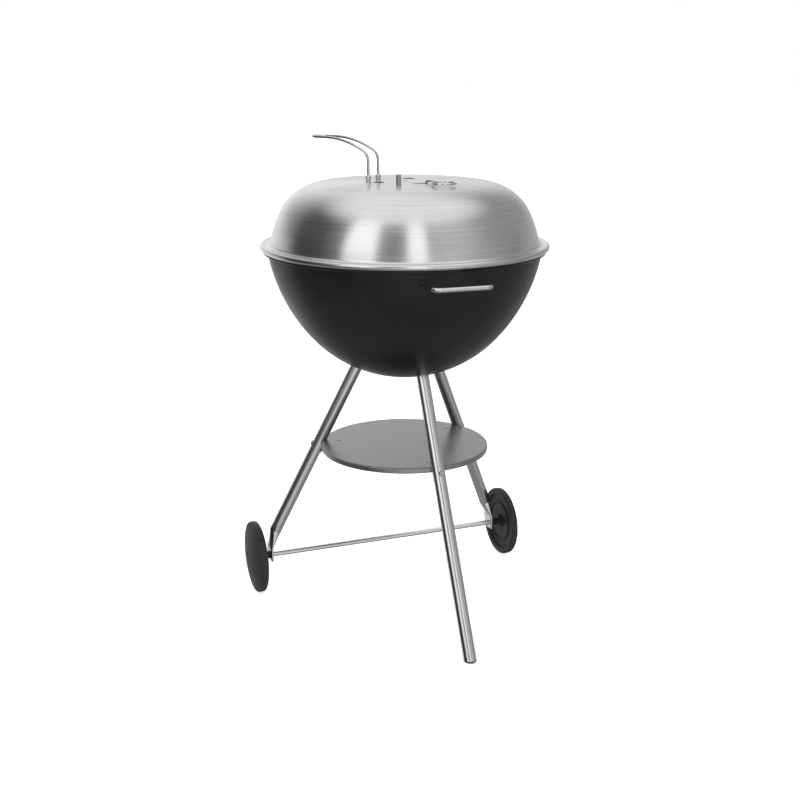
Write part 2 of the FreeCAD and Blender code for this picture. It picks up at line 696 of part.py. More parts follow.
def flat_section(centre, half, sheet_half):
    """A flattened tube's outline, square to Z."""
    low, high = centre.y - half + sheet_half, centre.y + half - sheet_half
    left, right = centre.x - sheet_half, centre.x + sheet_half
    z = centre.z
    edges = [Part.LineSegment(Vector(right, low, z), Vector(right, high, z)).toShape(),
             Part.Arc(Vector(right, high, z), Vector(centre.x, high + sheet_half, z),
                      Vector(left, high, z)).toShape(),
             Part.LineSegment(Vector(left, high, z), Vector(left, low, z)).toShape(),
             Part.Arc(Vector(left, low, z), Vector(centre.x, low - sheet_half, z),
                      Vector(right, low, z)).toShape()]
    return Part.Wire(edges)


def round_section(centre, way, radius):
    """Four arcs that match the flat section's four edges."""
    across = Vector(way.z, 0, -way.x).normalize()
    square = way.cross(across).normalize()
    corners = [math.radians(angle) for angle in (-55, 55, 125, 235, 305)]
    spots = [centre + (across * math.cos(a) + square * math.sin(a)) * radius for a in corners]
    edges = []
    for count in range(4):
        middle = (corners[count] + corners[count + 1]) / 2
        half = centre + (across * math.cos(middle) + square * math.sin(middle)) * radius
        edges.append(Part.Arc(spots[count], half, spots[count + 1]).toShape())
    return Part.Wire(edges)


def make_rear_leg(side):
    """Tube whose lower end is pressed flat and turned upright to hold the axle."""
    way = leg_ways["right"]
    bend = leg_ends["right"] + way * s.tube_radius
    length = (leg_tops["right"] - bend).Length + s.tube_radius
    outer = Part.makeCylinder(s.tube_radius, length, bend, way)
    bore = Part.makeCylinder(s.tube_radius - s.tube_wall, length, bend, way)
    flat_top = Vector(s.crimp_x, s.axle_setback, axle_z + s.crimp_half)
    crimp = Part.makeLoft([round_section(bend, way, s.tube_radius),
                           flat_section(flat_top, s.crimp_half, s.crimp_sheet / 2)], True, True)
    low = Vector(s.crimp_x, s.axle_setback, axle_z - s.crimp_below)
    blade = Part.Face(flat_section(low, s.crimp_half, s.crimp_sheet / 2))
    blade = blade.extrude(Vector(0, 0, flat_top.z - low.z))
    point, outward = tray_line("right")
    shape = outer.cut(bore).fuse([crimp, blade]).cut(cope_core)
    axle_start = Vector(s.crimp_x - s.crimp_sheet, s.axle_setback, axle_z)
    reach = outward * (2 * s.tube_radius)
    axle_end = axle_start + Vector(2 * s.crimp_sheet, 0, 0)
    shape = drilled(shape, [(s.axle_radius + s.hole_gap, axle_start, axle_end),
                            (s.screw_radius + s.hole_gap, point - reach, point + reach)])
    if side == "left":
        shape = shape.mirror(ORIGIN, Vector(1, 0, 0))
    node(feature(f"{side}_leg", shape), f"{side}_leg")


def make_leg_fixings():
    """A plug in the top of each tube, with a bolt into it from inside the bowl."""
    plugs, bolts, washers = [], [], []
    for side, top in leg_tops.items():
        way = leg_ways[side]
        inside = s.bowl_sheet + s.cope_gap
        plug_r = s.tube_radius - s.tube_wall - s.hole_gap
        start = top - way * (s.plug_length - s.tube_radius / 2)
        plug = Part.makeCylinder(plug_r, s.plug_length, start, way).cut(cope_core)
        bore = Part.makeCylinder(s.bolt_radius + s.thread_gap, 4 * s.tube_radius, start, way)
        plugs.append(feature(f"plug_{side}", plug.cut(bore)))
        ring = Part.makeCylinder(s.washer_wide * s.bolt_radius, inside + s.bolt_radius, top, way)
        hole = Part.makeCylinder(s.bolt_radius + s.thread_gap, 4 * s.bolt_radius,
                                 top - way * s.bolt_radius, way)
        washers.append(feature(f"leg_washer_{side}", ring.common(bowl_cavity).cut(hole)))
        head = top + way * (inside + s.bolt_radius)
        shank_start = head - way * (6 * s.bolt_radius)
        shank = rod(f"leg_shank_{side}", "bolt_radius", "bolt_radius * 6", shank_start, way)
        cap = doc.addObject("Part::Prism", f"leg_head_{side}")
        cap.Polygon = 6
        cap.setExpression("Circumradius", rule(f"bolt_radius * nut_wide * {HEX_SHARE}"))
        cap.setExpression("Height", rule("bolt_radius * head_high"))
        cap.Placement = along(head, way)
        bolts.append(fused(f"leg_bolt_{side}", [shank, cap]))
    node(group("leg_plugs", plugs), "leg_plugs")
    node(group("leg_bolts", bolts), "leg_bolts")
    node(group("leg_washers", washers), "leg_washers")


def make_foot():
    """A plastic plug in the front tube, with a rounded sole that lies level on the floor."""
    way = leg_ways["front"]
    start = foot_point - way * (2 * s.tube_radius)
    stock = rod("foot_stock", "tube_radius", "tube_radius * 6", start, way)
    sole = cut("foot_flat", common("foot_disc", [stock, foot_slab("foot_top", s.foot_sole)]),
               foot_slab("foot_floor", 0))
    doc.recompute()
    lower = next(index for index, edge in enumerate(sole.Shape.Edges, start=1)
                 if edge.BoundBox.ZMax < s.foot_sole / 2)
    rounded = doc.addObject("Part::Fillet", "foot_rounded")
    rounded.Base = sole
    rounded.Edges = [(lower, s.foot_round, s.foot_round)]
    core = rod("foot_core", "tube_radius - tube_wall - hole_gap", "foot_plug + tube_radius", foot_point, way)
    plug = cut("foot_plug", core, foot_slab("foot_middle", s.foot_sole / 2))
    node(fused("front_foot", [rounded, plug]), "front_foot")


# ---------------------------------------------------------------- axle and wheels
def axle_placement(side, x):
    """Turns +Z outwards along the axle."""
    hand = 1 if side == "right" else -1
    return along(Vector(hand * x, s.axle_setback, axle_z), Vector(hand, 0, 0))


def make_axle():
    half = "wheel_track + wheel_width / 2 + wheel_dome / 4"
    start = Vector(-number(half), s.axle_setback, axle_z)
    node(rod("axle", "axle_radius", f"2 * ({half})", start, Vector(1, 0, 0)), "axle")


def make_wheel(side):
    """Domed disc in a rounded tread, with a hub, a recess behind and a capped socket in its face."""
    half = "(wheel_width / 2)"
    face_r = "(wheel_radius - face_inset)"
    face_z = f"({half} + wheel_dome)"
    dome_r = f"(({face_r} ^ 2 + wheel_dome ^ 2) / (2 * wheel_dome))"
    socket_r = "(cap_radius + side_gap)"
    socket_top = f"({face_z} - {dome_r} + sqrt({dome_r} ^ 2 - {socket_r} ^ 2))"
    socket_floor = f"({half} - socket_depth)"
    bore = "axle_radius + run_gap"
    web = f"(web_sink - {half})"
    rim = "(wheel_radius - rim_depth)"
    groove = f"({half} - groove_depth)"
    wheel = turned(f"wheel_{side}_body", [
        (bore, f"-{half}"), ("hub_radius", f"-{half}"), ("hub_radius", web),
        ("rib_radius", web), ("rib_radius", f"{web} - rib_size"),
        ("rib_radius + rib_size", f"{web} - rib_size"), ("rib_radius + rib_size", web),
        (f"{rim} - rib_size", web), (rim, f"-{half}"),
        ("wheel_radius - tread_round", f"-{half}", "tread_round"),
        ("wheel_radius", f"tread_round - {half}"),
        ("wheel_radius", f"{half} - tread_round", "tread_round"),
        ("wheel_radius - tread_round", half), (f"{face_r} + groove_width", half),
        (f"{face_r} + groove_width", groove), (face_r, groove), (face_r, half, dome_r),
        (socket_r, socket_top), (socket_r, socket_floor), (bore, socket_floor)],
        axle_placement(side, s.wheel_track))
    node(wheel, f"wheel_{side}")
    top = f"({socket_top} - {socket_floor})"
    shoulder = f"({top} - cap_wall)"
    room = "(cap_radius - cap_wall)"
    cap = turned(f"hub_cap_{side}_body", [
        ("0", f"{top} - cap_dimple"), ("cap_dimple - cap_wall / 2", f"{top} - cap_dimple"),
        ("cap_dimple", top), (room, top), ("cap_radius", shoulder), ("cap_radius", "hole_gap"),
        (room, "hole_gap"), (room, f"{shoulder} - cap_dimple"), ("0", f"{shoulder} - cap_dimple")],
        axle_placement(side, s.wheel_track + number(socket_floor)))
    node(cap, f"hub_cap_{side}")


def make_axle_fixings():
    """A spacer tube between the legs, sleeves between legs and wheels, and a push nut on each end."""
    sleeves, clips = [], []
    bore, half = "axle_radius + thread_gap", "crimp_x - crimp_sheet / 2 - thread_gap"
    node(turned("axle_spacer_body", [
        (bore, f"-({half})"), ("spacer_radius", f"-({half})"), ("spacer_radius", half), (bore, half)],
        axle_placement("right", 0)), "axle_spacer")
    inner = "wheel_track - wheel_width / 2 - side_gap"
    outer = "crimp_x + crimp_sheet / 2"
    for side in ("right", "left"):
        length = f"({inner}) - ({outer}) - thread_gap"
        sleeves.append(turned(f"sleeve_{side}", [
            ("axle_radius + thread_gap", "0"), ("axle_radius * 2", "0"), ("axle_radius * 2", length),
            ("axle_radius + thread_gap", length)], axle_placement(side, number(outer) + s.thread_gap)))
        clip_x = s.wheel_track + s.wheel_width / 2 - s.socket_depth + s.side_gap
        clips.append(turned(f"clip_{side}", [
            ("axle_radius", "0"), ("axle_radius * 2", "0"), ("axle_radius * 2", "clip_sheet"),
            ("axle_radius + clip_sheet", "clip_sheet * 2"), ("axle_radius", "clip_sheet * 2")],
            axle_placement(side, clip_x)))
    node(group("axle_sleeves", sleeves), "axle_sleeves")
    node(group("axle_push_nuts", clips), "axle_push_nuts")


# ---------------------------------------------------------------- ash tray
def make_ash_tray():
    """Round plate with a lip turned down and rolled, notched where the legs pass."""
    corner = s.tray_sheet
    drop = s.tray_lip - s.tray_sheet - corner - s.tray_curl
    flat = s.tray_radius - s.tray_sheet - corner
    start = Vector(0, 0, s.tray_height)
    shape = spun_sheet(start, 0, [(flat, 0), (corner, -90), (drop, 0)], s.tray_sheet)
    curl_z = s.tray_height + s.tray_sheet - s.tray_lip + s.tray_curl
    curl = torus(s.tray_radius - s.tray_curl, s.tray_curl, curl_z)
    shape = shape.fuse(curl).removeSplitter()
    holes = []
    for side in leg_tops:
        start = leg_point(side, s.tray_height - 4 * s.tube_radius)
        holes.append((s.tube_radius + s.tray_gap, start, start + leg_ways[side] * (10 * s.tube_radius)))
        spot = tray_rivet(side)
        deep = UP * (2 * s.tray_sheet)
        holes.append((s.screw_radius + s.hole_gap, spot - deep, spot + deep))
    node(feature("ash_tray", drilled(shape, holes)), "ash_tray")


def tray_rivet(side):
    return leg_point(side, s.tray_height) - lean(side) * s.tray_angle_tab


def make_tray_fixings():
    """Angles under the tray, each riveted to it and screwed through a leg."""
    angles, screws, nuts, rivets = [], [], [], []
    for side in leg_tops:
        point, outward = tray_line(side)
        way = leg_ways[side]
        level = lean(side)
        across = UP.cross(level)
        skin = point - outward * (s.tube_radius + s.thread_gap)
        top_z = s.tray_height - s.hole_gap / 2
        upper = skin + way * ((top_z - skin.z) / way.z)
        lower = skin - way * (s.bracket_flange / 2)
        tip = upper - level * s.tray_angle_tab
        inner_low = lower - outward * s.bracket_sheet
        inner_top = inner_low + way * ((top_z - s.bracket_sheet - inner_low.z) / way.z)
        ring = [lower, upper, tip, tip - UP * s.bracket_sheet, inner_top, inner_low, lower]
        plate = Part.Face(Part.makePolygon(ring)).extrude(across * s.tray_angle_width)
        plate.translate(across * (-s.tray_angle_width / 2))
        spot = tray_rivet(side)
        reach = outward * (3 * s.tube_radius)
        holes = [(s.screw_radius + s.hole_gap, point - reach, point),
                 (s.screw_radius + s.hole_gap, spot - UP * 8 * s.bracket_sheet, spot)]
        angles.append(feature(f"tray_angle_{side}", drilled(plate, holes)))
        seat = point + outward * s.tube_radius
        length = 2 * s.tube_radius + s.bracket_sheet + 3 * s.screw_radius
        shank = Part.makeCylinder(s.screw_radius, length, seat, outward * -1)
        head = Part.makeCone(s.washer_wide * s.screw_radius, s.nut_wide * s.screw_radius, s.screw_radius,
                             seat, outward)
        screws.append(feature(f"tray_screw_{side}", shank.fuse(head)))
        nut_seat = skin - outward * (s.bracket_sheet + s.thread_gap)
        nuts.append(nut(f"tray_nut_{side}", "screw_radius", nut_seat, outward * -1))
        low = spot - UP * (s.bracket_sheet + s.hole_gap)
        rivet = Part.makeCylinder(s.screw_radius, s.bracket_sheet + s.tray_sheet + 2 * s.hole_gap, low)
        head_r = s.nut_wide * s.screw_radius
        button = Part.makeCylinder(head_r, s.tray_sheet, spot + UP * (s.tray_sheet + s.thread_gap))
        foot = Part.makeCylinder(head_r, s.tray_sheet, low - UP * s.tray_sheet)
        rivets.append(feature(f"tray_rivet_{side}", rivet.fuse([button, foot])))
    node(group("tray_angles", angles), "tray_angles")
    node(group("tray_screws", screws), "tray_screws")
    node(group("tray_nuts", nuts), "tray_nuts")
    node(group("tray_rivets", rivets), "tray_rivets")


# ---------------------------------------------------------------- lid
def handle_feet():
    out = polar(1, LID_HANDLE_ANGLE)
    across = polar(s.lid_handle_width / 2, LID_HANDLE_ANGLE + 90)
    for hand in (-1, 1):
        yield out * s.lid_handle_distance + across * hand


post_spot = polar(s.post_distance, POST_ANGLE)


def make_lid_shell():
    steps = [crown_arc] + shoulder + [(s.lid_fillet, -lid_foot_heading)]
    fillet_end = walk(lid_foot, lid_foot_heading, steps[-1:])[2]
    edge = s.rim_radius - s.lid_bead
    shape = spun_sheet(lid_top, 0, steps, -s.lid_sheet)
    low = Vector(0, 0, lid_flange_z - s.lid_sheet)
    flange = Part.makeCylinder(edge, s.lid_sheet, low)
    flange = flange.cut(Part.makeCylinder(fillet_end.x, s.lid_sheet, low))
    shape = shape.fuse([flange, torus(edge, s.lid_bead, s.rim_height)]).removeSplitter()
    deep = UP * (4 * s.lid_sheet)
    spots = [(s.vent_radius, polar(s.vent_ring, degrees, lid_top_z)) for degrees in VENT_ANGLES]
    spots.append((s.lid_rivet + s.thread_gap, lid_top))
    spots.append((s.lid_wire, post_spot + UP * lid_top_z))
    spots += [(s.lid_wire + s.thread_gap, foot + UP * lid_top_z) for foot in handle_feet()]
    holes = [(radius, spot - deep, spot + deep) for radius, spot in spots]
    slot = sector(s.vent_ring - s.slot_half, s.vent_ring + s.slot_half, *SLOT_ANGLES,
                  lid_top_z - deep.z, lid_top_z + deep.z)
    for degrees in SLOT_ANGLES:
        spot = polar(s.vent_ring, degrees, lid_top_z)
        holes.append((s.slot_half, spot - deep, spot + deep))
    return drilled(shape.cut(slot), holes)


def make_lid_handle():
    """Two wires that rise from the lid, sweep back and join in a loop."""
    bend_start = Vector(0, 0, s.lid_handle_upright)
    bend_end = Vector(s.lid_handle_bend, 0, s.lid_handle_height)
    sweep = biarc(bend_start, 90, bend_end, 0, s.lid_handle_balance)
    half = s.lid_handle_width / 2
    level = s.lid_handle_reach - s.lid_wire - half - s.lid_handle_bend
    buried = 5 * s.lid_wire
    start = Vector(0, 0, -buried)
    side, _, end = walk(start, 90, [(s.lid_handle_upright + buried, 0)] + sweep + [(level, 0)])
    edges = []
    for edge in side:
        moved = edge.copy()
        moved.translate(Vector(0, half, 0))
        edges.append(moved)
    edges.append(Part.Arc(end + Vector(0, half, 0), end + Vector(half, 0, 0),
                          end - Vector(0, half, 0)).toShape())
    for edge in reversed(side):
        moved = edge.copy()
        moved.translate(Vector(0, -half, 0))
        edges.append(moved)
    shape = swept(edges, s.lid_wire, start + Vector(0, half, 0), UP)
    spot = polar(s.lid_handle_distance, LID_HANDLE_ANGLE, crown_z(s.lid_handle_distance))
    node(feature("lid_handle", shape, Placement(spot, Rotation(UP, LID_HANDLE_ANGLE))), "lid_handle")
    balls, nuts, washers = [], [], []
    for count, foot in enumerate(handle_feet()):
        seat = foot + UP * (crown_z(foot.Length) + s.thread_gap)
        ball = Part.makeSphere(s.ferrule_radius, seat + UP * (s.ferrule_radius - s.lid_sheet))
        trim = Part.makeCylinder(2 * s.ferrule_radius, s.ferrule_radius, seat, UP * -1)
        bore = Part.makeCylinder(s.lid_wire + s.thread_gap, 3 * s.ferrule_radius, seat)
        balls.append(feature(f"ferrule_{count}", ball.cut([trim, bore])))
        under = foot + UP * (crown_z(foot.Length) - s.lid_sheet - s.hole_gap)
        washers.append(washer(f"lid_washer_{count}", "lid_wire", "lid_wire / 2", under, UP * -1))
        nut_top = under - UP * (s.lid_wire / 2 + s.thread_gap)
        nuts.append(nut(f"lid_nut_{count}", "lid_wire", nut_top, UP * -1))
    node(group("lid_handle_ferrules", balls), "lid_handle_ferrules")
    node(group("lid_handle_washers", washers), "lid_handle_washers")
    node(group("lid_handle_nuts", nuts), "lid_handle_nuts")


def make_lid_post():
    """Upright post on a stud, with its nut under the lid."""
    seat = post_spot + UP * (crown_z(s.post_distance) + s.thread_gap)
    stud = "lid_wire - thread_gap"
    length = "lid_sheet + lid_wire * 2 + hole_gap"
    post = turned("lid_post_body", [
        ("0", "post_height"), ("0", f"-({length})"), (stud, f"-({length})"), (stud, "0"),
        ("post_radius", "0"), ("post_radius", "post_height - lid_sheet"),
        ("post_radius - lid_sheet", "post_height")],
        Placement(seat, Rotation()))
    node(post, "lid_post")
    under = seat - UP * (s.lid_sheet + s.hole_gap)
    node(nut("lid_post_nut_cut", "lid_wire", under, UP * -1), "lid_post_nut")


def make_lid_damper():
    """Three vanes round a hub under the lid, turned by a ring whose stem passes the slot."""
    top = lid_top_z - s.lid_sheet - s.vane_gap
    low = top - s.damper_sheet
    shape = Part.makeCylinder(s.vane_hub, s.damper_sheet, Vector(0, 0, low))
    vanes = [sector(s.vane_hub - 2 * s.damper_sheet, s.vane_reach, first, last, low, top)
             for first, last in VANES]
    stem = polar(s.vent_ring, STEM_ANGLE)
    shape = shape.fuse(vanes).removeSplitter()
    shape = drilled(shape, [(s.lid_rivet + s.run_gap, Vector(0, 0, low), lid_top),
                            (s.ring_wire + s.thread_gap, stem + UP * low, stem + UP * lid_top_z)])
    node(feature("lid_damper_plate", shape), "lid_damper_plate")
    stack = "(lid_sheet + vane_gap + damper_sheet)"
    rivet = turned("lid_rivet_body", [
        ("0", "button"), ("0", f"-({stack} + button)"), ("lid_rivet + button * 0.75", f"-({stack} + button)"),
        ("lid_rivet + button", f"-({stack} + side_gap)"), ("lid_rivet", f"-({stack} + side_gap)"),
        ("lid_rivet", "thread_gap"), ("lid_rivet + button", "thread_gap"),
        ("lid_rivet + button * 0.6", "button * 0.6")], Placement(lid_top, Rotation()))
    node(rivet, "lid_damper_rivet")


def make_lid_ring():
    """A ring of wire whose tail runs to the slot and down to the damper."""
    centre = polar(s.ring_distance, RING_ANGLE, crown_z(s.ring_distance) + s.ring_rise)
    foot = polar(s.vent_ring, STEM_ANGLE, centre.z)
    inward = foot - centre
    inward.normalize()
    bend = s.washer_wide * s.ring_wire
    near = centre + inward * s.ring_radius
    knee = foot - inward * bend
    lower = foot - UP * bend
    half = foot - (inward + UP) * (bend * (1 - math.sqrt(0.5)))
    plate_low = lid_top_z - s.lid_sheet - s.vane_gap - s.damper_sheet
    bottom = Vector(foot.x, foot.y, plate_low - s.ring_wire)
    edges = [Part.LineSegment(near, knee).toShape(), Part.Arc(knee, half, lower).toShape(),
             Part.LineSegment(lower, bottom).toShape()]
    stem = swept(edges, s.ring_wire, near, inward)
    ring = Part.makeTorus(s.ring_radius, s.ring_wire, centre, UP)
    button = Part.makeCylinder(s.nut_wide * s.ring_wire, s.ring_wire / 2, bottom, UP)
    node(feature("lid_damper_ring", ring.fuse([stem, button]).removeSplitter()), "lid_damper_ring")


# ---------------------------------------------------------------- bowl damper
def make_bowl_damper():
    """A dished disc inside the bowl, on a pivot that carries the lever under the bowl."""
    dish = s.bowl_sheet + s.lower_gap
    radius = bowl_steps[0][0] - dish
    turn = math.degrees(math.asin(s.lower_damper / radius))
    start = bowl_base + UP * dish
    shape = spun_sheet(start, 0, [(radius, turn)], s.damper_sheet)
    pivot_r = s.axle_radius
    holes = [(pivot_r + s.thread_gap, start - UP, start + UP * 4 * s.damper_sheet)]
    for degrees in LOWER_VENT_ANGLES:
        low = polar(s.lower_vent_ring, degrees, bowl_base.z)
        holes.append((s.lower_vent, low, low + UP * s.lower_vent * 2))
    node(feature("bowl_damper_plate", drilled(shape, holes)), "bowl_damper_plate")
    stack = "(bowl_sheet + lower_gap + damper_sheet)"
    under = "side_gap + lever_sheet"
    pivot = turned("bowl_damper_pivot_body", [
        ("0", f"{stack} + button"), ("0", f"-({under} + button)"),
        ("axle_radius + lever_sheet", f"-({under} + button)"),
        ("axle_radius + button", f"-({under})"), ("axle_radius", f"-({under})"),
        ("axle_radius", f"{stack} + hole_gap"), ("axle_radius + 2 * lever_sheet", f"{stack} + hole_gap"),
        ("axle_radius + lever_sheet", f"{stack} + button")], Placement(bowl_base, Rotation()))
    node(pivot, "bowl_damper_pivot")
    lever = padded("bowl_damper_lever_body", "XZ_Plane", [
        ("-lever_half", "0"), ("-lever_half", "-lever_sheet"),
        ("lever_length - lever_sheet", "-lever_sheet"), ("lever_length - lever_sheet", "-lever_tip"),
        ("lever_length", "-lever_tip"), ("lever_length", "0")], "lever_half * 2", midplane=True)
    bore = rod("lever_bore", "axle_radius + thread_gap", "lever_sheet * 4", UP * (-2 * s.lever_sheet))
    blade = cut("lever_cut", lever, bore)
    blade.Placement = Placement(bowl_base - UP * s.side_gap / 2, Rotation(UP, LEVER_ANGLE))
    node(blade, "bowl_damper_lever")


# ---------------------------------------------------------------- assembly
node(feature("bowl", make_bowl()), "bowl")
make_bowl_handles()
cooking_z = s.rim_height - s.cooking_drop
charcoal_z = bowl_base.z + s.charcoal_rise
make_grate("cooking_grate", cooking_z, "cooking_wire", BARS_COOKING)
make_grate("charcoal_grate", charcoal_z, "charcoal_wire", BARS_CHARCOAL)
make_brackets("cooking_brackets", cooking_z)
make_brackets("charcoal_brackets", charcoal_z)
make_front_leg()
make_rear_leg("left")
make_rear_leg("right")
make_leg_fixings()
make_foot()
make_axle()
make_wheel("left")
make_wheel("right")
make_axle_fixings()
make_ash_tray()
make_tray_fixings()
node(feature("lid_shell", make_lid_shell()), "lid_shell")
make_lid_handle()
make_lid_post()
make_lid_damper()
make_lid_ring()
make_bowl_damper()
doc.recompute()

# ---------------------------------------------------------------- checks and files
for item in doc.Objects:
    if {"Invalid", "Error"} & set(item.State):
        raise RuntimeError(f"{item.Name} did not recompute: {item.State}")
for name, item in nodes.items():
    if item.Shape.isNull() or not item.Shape.isValid() or not item.Shape.Solids:
        raise RuntimeError(f"{name} is not a valid solid")
os.makedirs("parts", exist_ok=True)
for name, item in nodes.items():
    item.Shape.exportStep(f"parts/{name}.step")
    box = item.Shape.optimalBoundingBox(False)
    print(f"{name:20s} solids {len(item.Shape.Solids)} x {box.XMin:.1f} {box.XMax:.1f} "
          f"y {box.YMin:.1f} {box.YMax:.1f} z {box.ZMin:.1f} {box.ZMax:.1f}")
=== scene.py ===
import json
import math

import bmesh
import bpy
from mathutils import Matrix, Vector


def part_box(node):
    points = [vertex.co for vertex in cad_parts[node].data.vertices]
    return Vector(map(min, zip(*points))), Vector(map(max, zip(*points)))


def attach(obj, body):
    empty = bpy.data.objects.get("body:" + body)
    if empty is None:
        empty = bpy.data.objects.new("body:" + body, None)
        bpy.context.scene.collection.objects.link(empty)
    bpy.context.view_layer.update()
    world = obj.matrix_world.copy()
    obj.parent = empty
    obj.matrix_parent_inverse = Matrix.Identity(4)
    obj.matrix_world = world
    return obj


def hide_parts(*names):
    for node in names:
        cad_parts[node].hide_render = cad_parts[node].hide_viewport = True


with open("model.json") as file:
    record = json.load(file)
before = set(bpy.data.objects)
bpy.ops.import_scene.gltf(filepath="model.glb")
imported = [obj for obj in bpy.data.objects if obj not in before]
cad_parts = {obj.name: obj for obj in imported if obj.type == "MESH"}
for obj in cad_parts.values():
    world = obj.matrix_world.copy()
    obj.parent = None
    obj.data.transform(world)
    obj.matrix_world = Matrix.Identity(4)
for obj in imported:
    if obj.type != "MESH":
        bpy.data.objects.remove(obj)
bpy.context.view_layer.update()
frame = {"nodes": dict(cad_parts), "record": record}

# A kettle charcoal grill. Metres, +Z up, the origin on the floor under the kettle's axis, the
# axle along X behind it. The lid's shell is turned anew here, and every other node keeps its CAD
# solid. The lid's sizes repeat those of the CAD part.

MM = 0.001
UP = Vector((0, 0, 1))


def polar(radius, degrees, height=0.0):
    angle = math.radians(degrees)
    return Vector((radius * math.cos(angle), radius * math.sin(angle), height))


# ---------------------------------------------------------------- sizes, from the CAD nodes
def size_of(node):
    low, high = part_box(node)
    return high - low


LID_HEIGHT = 126 * MM  # middle of the rolled rim to the top of the crown
RIM_RADIUS = size_of("lid_shell").x / 2
LID_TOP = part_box("lid_shell")[1].z
RIM_Z = LID_TOP - LID_HEIGHT


# ---------------------------------------------------------------- turned outlines
def biarc(start, heading, end, end_heading, balance):
    """Two tangent arcs between two directed points of (radius, height), as (radius, turn)."""
    first = Vector((math.cos(math.radians(heading)), math.sin(math.radians(heading))))
    last = Vector((math.cos(math.radians(end_heading)), math.sin(math.radians(end_heading))))
    chord = end - start
    square = 2 * balance * (first.dot(last) - 1)
    linear = -2 * (balance * chord.dot(first) + chord.dot(last))
    root = math.sqrt(linear ** 2 - 4 * square * chord.dot(chord))
    near = (-linear - root) / (2 * square)
    bridge = (end - last * near) - (start + first * near * balance)
    middle = math.degrees(math.atan2(bridge.y, bridge.x))
    steps = []
    for length, turn in ((near * balance, middle - heading), (near, end_heading - middle)):
        steps.append((length / math.tan(math.radians(abs(turn)) / 2), turn))
    return steps


def walk(start, heading, steps, offset=0.0, grain=2.0):
    """Points along (length, 0) straights and (radius, turn) arcs, moved left by the offset."""
    angle = math.radians(heading)
    place = start + Vector((-math.sin(angle), math.cos(angle))) * offset
    points = [place]
    for size, turn in steps:
        ahead = Vector((math.cos(angle), math.sin(angle)))
        if turn == 0:
            place = place + ahead * size
            points.append(place)
            continue
        hand = math.copysign(1, turn)
        radius = size - offset * hand
        centre = place + Vector((-ahead.y, ahead.x)) * radius * hand
        count = max(2, math.ceil(abs(turn) / grain))
        spoke = place - centre
        for step in range(1, count + 1):
            part = math.radians(turn) * step / count
            points.append(centre + Matrix.Rotation(part, 2) @ spoke)
        place = points[-1]
        angle += math.radians(turn)
    return points


def bead(centre, radius, first, last, grain=10.0):
    """Points round a bead, from one direction to the other, in degrees."""
    count = math.ceil(abs(last - first) / grain)
    angles = [math.radians(first + (last - first) * step / count) for step in range(count + 1)]
    return [centre + Vector((math.cos(a), math.sin(a))) * radius for a in angles]


# ---------------------------------------------------------------- mesh helpers
ON_AXIS = 1e-6


def add(name, mesh):
    piece = bpy.data.objects.new(name, mesh)
    bpy.context.scene.collection.objects.link(piece)
    return piece


def finish_mesh(mesh, sharp=35.0):
    mesh.shade_smooth()
    mesh.set_sharp_from_angle(angle=math.radians(sharp))


def lathe(name, outline, segments=192, shift=None):
    """Turns an outline of (radius, height) about Z and moves it by a shift."""
    mesh = bpy.data.meshes.new(name)
    work = bmesh.new()
    rings = []
    for radius, height in outline:
        if radius < ON_AXIS:
            rings.append([work.verts.new((0, 0, height))])
            continue
        ring = []
        for step in range(segments):
            angle = 2 * math.pi * step / segments
            ring.append(work.verts.new((radius * math.cos(angle), radius * math.sin(angle), height)))
        rings.append(ring)
    for first, second in zip(rings, rings[1:]):
        for step in range(segments):
            after = (step + 1) % segments
            corners = []
            for ring, spots in ((first, (step, after)), (second, (after, step))):
                corners += [ring[0]] if len(ring) == 1 else [ring[spot] for spot in spots]
            if len(corners) > 2:
                work.faces.new(corners)
    bmesh.ops.recalc_face_normals(work, faces=work.faces)
    if shift is not None:
        work.transform(Matrix.Translation(shift))
    work.to_mesh(mesh)
    work.free()
    finish_mesh(mesh)
    return add(name, mesh)


def carve(piece, cutters):
    """Cuts the cutters out of a piece."""
    for cutter in cutters:
        tool = piece.modifiers.new("cut", "BOOLEAN")
        tool.operation = "DIFFERENCE"
        tool.solver = "EXACT"
        tool.object = cutter
    graph = bpy.context.evaluated_depsgraph_get()
    mesh = bpy.data.meshes.new_from_object(piece.evaluated_get(graph))
    piece.modifiers.clear()
    piece.data = mesh
    finish_mesh(mesh)
    for cutter in cutters:
        bpy.data.objects.remove(cutter)


def drill(radius, centre, depth, segments=64):
    """A cutter for an upright round hole."""
    outline = [(0, -depth), (radius, -depth), (radius, depth), (0, depth)]
    return lathe("cutter", outline, segments, centre)


